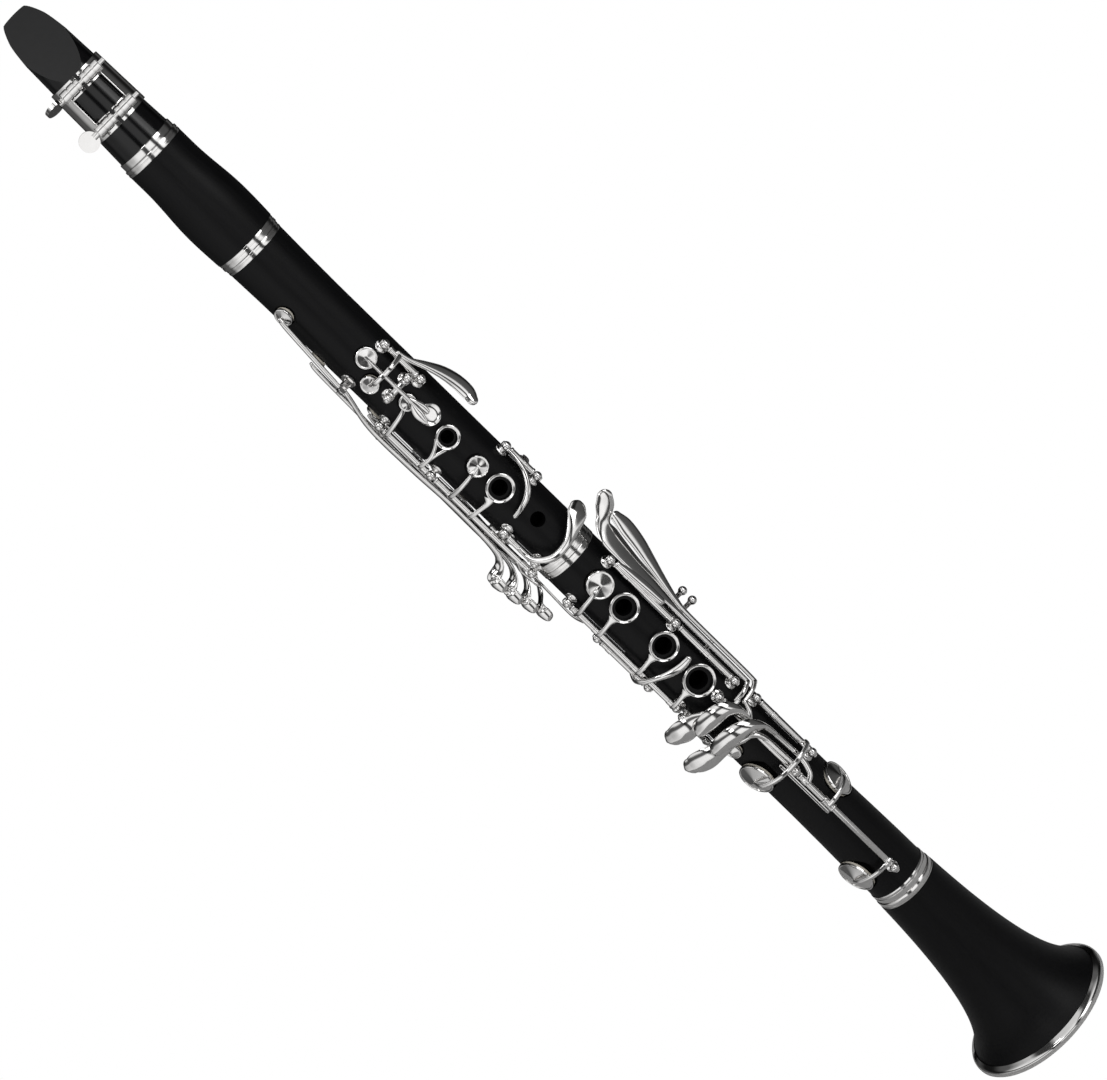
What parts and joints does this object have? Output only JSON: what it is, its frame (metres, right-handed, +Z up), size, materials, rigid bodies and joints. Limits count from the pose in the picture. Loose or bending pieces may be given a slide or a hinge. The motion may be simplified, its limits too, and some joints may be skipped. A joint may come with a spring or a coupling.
{
  "type": "clarinet",
  "caption": "Soprano clarinet with bell, two keyed joints, barrel, mouthpiece, reed and ligature; the sections pull apart and every key turns.",
  "frame": {"origin": "centre of the bell's mouth, in the plane the instrument stands on", "axes": "+Z up the bore to the mouthpiece tip, -Y towards the tone holes, +X towards the player's left hand side"},
  "size_m": [0.0804, 0.0804, 0.671],
  "materials": {
    "blackwood": "satin",
    "ebonite": "gloss",
    "silver_plate": "polished",
    "rod_steel": "polished",
    "cork": "matte",
    "pad_skin": "matte",
    "cane": "satin"
  },
  "bodies": {
    "bell": {"bell": "blackwood", "bell_rings": "silver_plate"},
    "lower_joint": {"lower_joint": "blackwood", "lower_joint_cork": "cork", "lower_joint_rings": "silver_plate", "lower_fittings": "silver_plate", "lower_hinge_rods": "rod_steel", "lower_springs": "rod_steel", "thumb_rest": "silver_plate"},
    "upper_joint": {"upper_joint": "blackwood", "upper_joint_corks": "cork", "upper_joint_rings": "silver_plate", "upper_fittings": "silver_plate", "upper_hinge_rods": "rod_steel", "upper_springs": "rod_steel"},
    "barrel": {"barrel": "blackwood", "barrel_rings": "silver_plate"},
    "mouthpiece": {"mouthpiece": "ebonite", "mouthpiece_cork": "cork", "reed": "cane", "ligature_band": "silver_plate"},
    "ligature_screw_upper": {"ligature_screw_upper": "silver_plate"},
    "ligature_screw_lower": {"ligature_screw_lower": "silver_plate"},
    "register_key": {"register_key": "silver_plate", "register_pad": "pad_skin"},
    "thumb_ring_key": {"thumb_ring_key": "silver_plate"},
    "a_key": {"a_key": "silver_plate", "a_pad": "pad_skin"},
    "g_sharp_key": {"g_sharp_key": "silver_plate", "g_sharp_pad": "pad_skin"},
    "ring_1_key": {"ring_1_key": "silver_plate", "ring_1_pad": "pad_skin"},
    "ring_2_key": {"ring_2_key": "silver_plate", "ring_2_pad": "pad_skin"},
    "sliver_key": {"sliver_key": "silver_plate", "sliver_pad": "pad_skin"},
    "c_sharp_key": {"c_sharp_key": "silver_plate", "c_sharp_pad": "pad_skin"},
    "side_key_1": {"side_key_1": "silver_plate", "side_pad_1": "pad_skin"},
    "side_key_2": {"side_key_2": "silver_plate", "side_pad_2": "pad_skin"},
    "side_key_3": {"side_key_3": "silver_plate", "side_pad_3": "pad_skin"},
    "side_key_4": {"side_key_4": "silver_plate", "side_pad_4": "pad_skin"},
    "lower_ring_key": {"lower_ring_key": "silver_plate", "lower_ring_pad": "pad_skin"},
    "fork_key": {"fork_key": "silver_plate", "fork_pad": "pad_skin"},
    "lh_f_sharp_lever": {"lh_f_sharp_lever": "silver_plate"},
    "lh_e_lever": {"lh_e_lever": "silver_plate"},
    "rh_f_sharp_key": {"rh_f_sharp_key": "silver_plate", "f_sharp_pad": "pad_skin"},
    "rh_a_flat_key": {"rh_a_flat_key": "silver_plate", "a_flat_pad": "pad_skin"},
    "rh_e_key": {"rh_e_key": "silver_plate", "e_pad": "pad_skin"},
    "rh_f_key": {"rh_f_key": "silver_plate", "f_pad": "pad_skin"}
  },
  "joints": [
    {"name": "bell_tenon", "type": "slide", "parent": "bell", "child": "lower_joint", "axis": [0, 0, 1], "range_m": [0, 0.022]},
    {"name": "middle_tenon", "type": "slide", "parent": "lower_joint", "child": "upper_joint", "axis": [0, 0, 1], "range_m": [0, 0.014]},
    {"name": "barrel_tenon", "type": "slide", "parent": "upper_joint", "child": "barrel", "axis": [0, 0, 1], "range_m": [0, 0.016]},
    {"name": "mouthpiece_tenon", "type": "slide", "parent": "barrel", "child": "mouthpiece", "axis": [0, 0, 1], "range_m": [0, 0.016]},
    {"name": "ligature_upper_turn", "type": "hinge", "parent": "mouthpiece", "child": "ligature_screw_upper", "pos_m": [0, -0.016, 0.6322], "axis": [1, 0, 0], "continuous": true},
    {"name": "ligature_lower_turn", "type": "hinge", "parent": "mouthpiece", "child": "ligature_screw_lower", "pos_m": [0, -0.016, 0.6123], "axis": [1, 0, 0], "continuous": true},
    {"name": "register_hinge", "type": "hinge", "parent": "upper_joint", "child": "register_key", "pos_m": [0, 0.0176, 0.467], "axis": [-1, 0, 0], "range_deg": [0, 3.2], "stiffness_Nm_per_rad": 0.05, "springref_deg": -8.59},
    {"name": "thumb_ring_hinge", "type": "hinge", "parent": "upper_joint", "child": "thumb_ring_key", "pos_m": [0.01218, 0.01353, 0.423], "axis": [0, 0, 1], "range_deg": [0, 4.6], "stiffness_Nm_per_rad": 0.05, "springref_deg": -8.59},
    {"name": "a_hinge", "type": "hinge", "parent": "upper_joint", "child": "a_key", "pos_m": [0, -0.0183, 0.4438], "axis": [1, 0, 0], "range_deg": [0, 3.7], "stiffness_Nm_per_rad": 0.05, "springref_deg": -8.59},
    {"name": "g_sharp_hinge", "type": "hinge", "parent": "upper_joint", "child": "g_sharp_key", "pos_m": [0.01005, -0.01518, 0.45], "axis": [0, 0, 1], "range_deg": [0, 6], "stiffness_Nm_per_rad": 0.05, "springref_deg": -8.59},
    {"name": "ring_1_hinge", "type": "hinge", "parent": "upper_joint", "child": "ring_1_key", "pos_m": [-0.0174, -0.00764, 0.419], "axis": [0, 0, 1], "range_deg": [0, 2.8], "stiffness_Nm_per_rad": 0.05, "springref_deg": -8.59},
    {"name": "ring_2_hinge", "type": "hinge", "parent": "upper_joint", "child": "ring_2_key", "pos_m": [-0.0174, -0.00764, 0.371], "axis": [0, 0, 1], "range_deg": [0, 3], "stiffness_Nm_per_rad": 0.05, "springref_deg": -8.59},
    {"name": "sliver_hinge", "type": "hinge", "parent": "upper_joint", "child": "sliver_key", "pos_m": [0.01535, -0.00978, 0.378], "axis": [0, 0, -1], "range_deg": [0, 6], "stiffness_Nm_per_rad": 0.05, "springref_deg": -8.59},
    {"name": "c_sharp_hinge", "type": "hinge", "parent": "upper_joint", "child": "c_sharp_key", "pos_m": [-0.01331, -0.01241, 0.352], "axis": [0, 0, 1], "range_deg": [0, 4.6], "stiffness_Nm_per_rad": 0.05, "springref_deg": -8.59},
    {"name": "side_1_hinge", "type": "hinge", "parent": "upper_joint", "child": "side_key_1", "pos_m": [-0.01577, -0.00986, 0.4599], "axis": [0.5299, -0.848, 0], "range_deg": [0, 1.05], "stiffness_Nm_per_rad": 0.05, "springref_deg": -8.59},
    {"name": "side_2_hinge", "type": "hinge", "parent": "upper_joint", "child": "side_key_2", "pos_m": [-0.01846, 0.00227, 0.431], "axis": [-0.1219, -0.9925, 0], "range_deg": [0, 1.5], "stiffness_Nm_per_rad": 0.05, "springref_deg": -8.59},
    {"name": "side_3_hinge", "type": "hinge", "parent": "upper_joint", "child": "side_key_3", "pos_m": [-0.01748, 0.00636, 0.412], "axis": [-0.342, -0.9397, 0], "range_deg": [0, 1.8], "stiffness_Nm_per_rad": 0.05, "springref_deg": -8.59},
    {"name": "side_4_hinge", "type": "hinge", "parent": "upper_joint", "child": "side_key_4", "pos_m": [-0.0156, 0.01013, 0.362], "axis": [-0.5446, -0.8387, 0], "range_deg": [0, 3.4], "stiffness_Nm_per_rad": 0.05, "springref_deg": -8.59},
    {"name": "lower_ring_hinge", "type": "hinge", "parent": "lower_joint", "child": "lower_ring_key", "pos_m": [-0.01599, -0.00868, 0.281], "axis": [0, 0, 1], "range_deg": [0, 3.3], "stiffness_Nm_per_rad": 0.05, "springref_deg": -8.59},
    {"name": "fork_hinge", "type": "hinge", "parent": "lower_joint", "child": "fork_key", "pos_m": [-0.01816, -0.00127, 0.276], "axis": [0, 0, 1], "range_deg": [0, 4.9], "stiffness_Nm_per_rad": 0.05, "springref_deg": -8.59},
    {"name": "lh_f_sharp_hinge", "type": "hinge", "parent": "lower_joint", "child": "lh_f_sharp_lever", "pos_m": [0.01145, -0.01414, 0.297], "axis": [0, 0, 1], "range_deg": [0, 4.2], "stiffness_Nm_per_rad": 0.05, "springref_deg": -8.59},
    {"name": "lh_e_hinge", "type": "hinge", "parent": "lower_joint", "child": "lh_e_lever", "pos_m": [0.01145, -0.01414, 0.255], "axis": [0, 0, 1], "range_deg": [0, 5.6], "stiffness_Nm_per_rad": 0.05, "springref_deg": -8.59},
    {"name": "rh_f_sharp_hinge", "type": "hinge", "parent": "lower_joint", "child": "rh_f_sharp_key", "pos_m": [0.00117, -0.01816, 0.211], "axis": [0, 0, -1], "range_deg": [0, 5.8], "stiffness_Nm_per_rad": 0.05, "springref_deg": -8.59},
    {"name": "rh_a_flat_hinge", "type": "hinge", "parent": "lower_joint", "child": "rh_a_flat_key", "pos_m": [-0.01731, -0.00562, 0.227], "axis": [0, 0, -1], "range_deg": [0, 7], "stiffness_Nm_per_rad": 0.05, "springref_deg": -8.59},
    {"name": "rh_e_hinge", "type": "hinge", "parent": "lower_joint", "child": "rh_e_key", "pos_m": [0.00117, -0.01816, 0.151], "axis": [0, 0, -1], "range_deg": [0, 4.6], "stiffness_Nm_per_rad": 0.05, "springref_deg": -8.59},
    {"name": "rh_f_hinge", "type": "hinge", "parent": "lower_joint", "child": "rh_f_key", "pos_m": [0.01287, -0.01287, 0.202], "axis": [0, 0, -1], "range_deg": [0, 4.4], "stiffness_Nm_per_rad": 0.05, "springref_deg": -8.59}
  ],
  "couplings": [
    {"joint": "thumb_ring_hinge", "follows": "ring_1_hinge", "ratio": 1.3},
    {"joint": "ring_2_hinge", "follows": "lower_ring_hinge", "ratio": 0.9},
    {"joint": "rh_f_sharp_hinge", "follows": "lh_f_sharp_hinge", "ratio": 1.35},
    {"joint": "rh_e_hinge", "follows": "lh_e_hinge", "ratio": 0.8}
  ]
}
